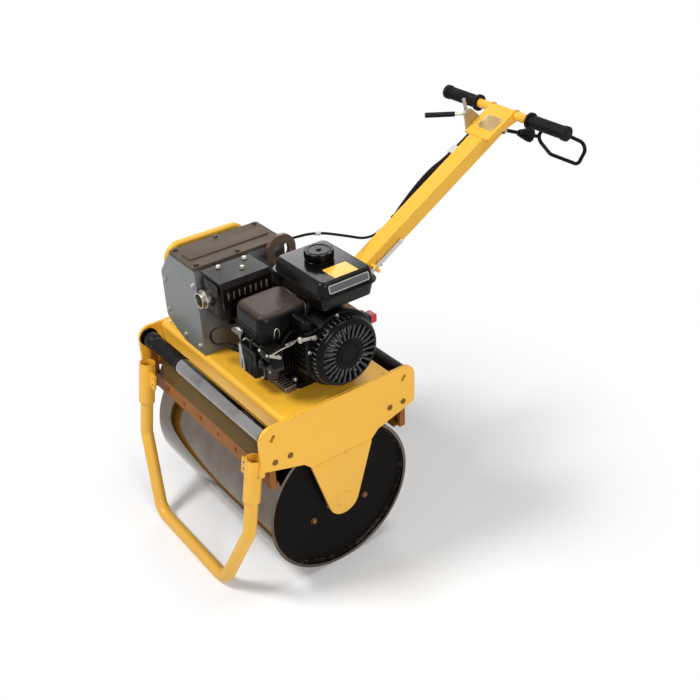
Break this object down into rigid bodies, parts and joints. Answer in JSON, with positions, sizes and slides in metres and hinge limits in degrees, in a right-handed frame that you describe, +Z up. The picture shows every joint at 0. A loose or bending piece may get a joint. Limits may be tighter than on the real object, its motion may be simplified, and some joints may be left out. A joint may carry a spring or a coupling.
{
  "type": "walk-behind single-drum roller",
  "caption": "Walk-behind vibratory roller: one smooth steel drum under a yellow frame, petrol engine, drive guard, tilting drawbar with handles and a sliding front stand.",
  "frame": {"origin": "on the ground under the middle of the drum's axle", "axes": "+X along the axle towards the recoil starter, -Y forward, +Y towards the drawbar's handles, +Z up"},
  "size_m": [0.591, 1.1776, 0.9855],
  "materials": {
    "yellow_paint": "gloss",
    "black_paint": "satin",
    "grey_paint": "satin",
    "amber_paint": "satin",
    "rolled_steel": "polished by use",
    "drum_black": "satin",
    "cast_iron": "rough",
    "bright_steel": "polished",
    "black_rubber": "matte",
    "engine_alloy": "painted cast",
    "bare_alloy": "cast",
    "black_cowl": "gloss",
    "black_plastic": "satin",
    "red_plastic": "gloss",
    "tank_black": "gloss",
    "exhaust_black": "matte heat paint",
    "lid_grey": "textured",
    "brown_paint": "satin",
    "zinc_plate": "zinc plated",
    "white_plastic": "satin"
  },
  "bodies": {
    "chassis": {"air_cleaner": "black_plastic", "axle_stub_left": "bright_steel", "axle_stub_right": "bright_steel", "carburettor": "bare_alloy", "clutch_housing": "engine_alloy", "deck": "yellow_paint", "drawbar_bracket": "yellow_paint", "drive_guard": "grey_paint", "drive_pump": "cast_iron", "drum_leg_left": "yellow_paint", "drum_leg_right": "yellow_paint", "engine_block": "engine_alloy", "engine_switch": "red_plastic", "exhaust_outlet": "bright_steel", "fan_housing": "black_cowl", "front_bar": "bright_steel", "front_bar_grip": "black_rubber", "fuel_cap": "black_plastic", "fuel_tank": "tank_black", "guard_hoop": "yellow_paint", "guard_lid": "lid_grey", "lifting_eye": "brown_paint", "muffler": "exhaust_black", "muffler_shield": "exhaust_black", "pivot_pin": "bright_steel", "rear_bar": "black_paint", "recoil_handle": "black_plastic", "recoil_starter": "black_plastic", "scraper_front": "amber_paint", "scraper_rear": "amber_paint", "side_plate_left": "yellow_paint", "side_plate_right": "yellow_paint", "stand_sleeves": "yellow_paint", "tank_strap": "black_paint", "throttle_cable": "black_plastic", "valve_cover": "bare_alloy"},
    "drum": {"drum_shell": "rolled_steel", "drum_disc_left": "drum_black", "drum_disc_right": "drum_black", "exciter_housing": "cast_iron"},
    "drawbar": {"drawbar_tube": "yellow_paint", "control_head": "yellow_paint", "handlebar": "yellow_paint", "handle_grips": "black_rubber", "travel_loop": "black_paint", "travel_boot": "black_rubber", "quadrant": "zinc_plate", "hand_lever": "zinc_plate", "lever_sleeve": "black_plastic", "control_cables": "black_plastic", "cable_clamp": "white_plastic", "lock_rod": "bright_steel", "lock_lugs": "yellow_paint"},
    "stand": {"stand_hoop": "yellow_paint"}
  },
  "joints": [
    {"name": "drum_roll", "type": "hinge", "parent": "chassis", "child": "drum", "pos_m": [0, 0, 0.21], "axis": [1, 0, 0], "continuous": true},
    {"name": "drawbar_tilt", "type": "hinge", "parent": "chassis", "child": "drawbar", "pos_m": [0, 0.165, 0.566], "axis": [1, 0, 0], "range_deg": [0, 55], "deforming": ["throttle_cable"]},
    {"name": "stand_slide", "type": "slide", "parent": "chassis", "child": "stand", "axis": [0, 0.1564, 0.9877], "range_m": [0, 0.08]}
  ]
}
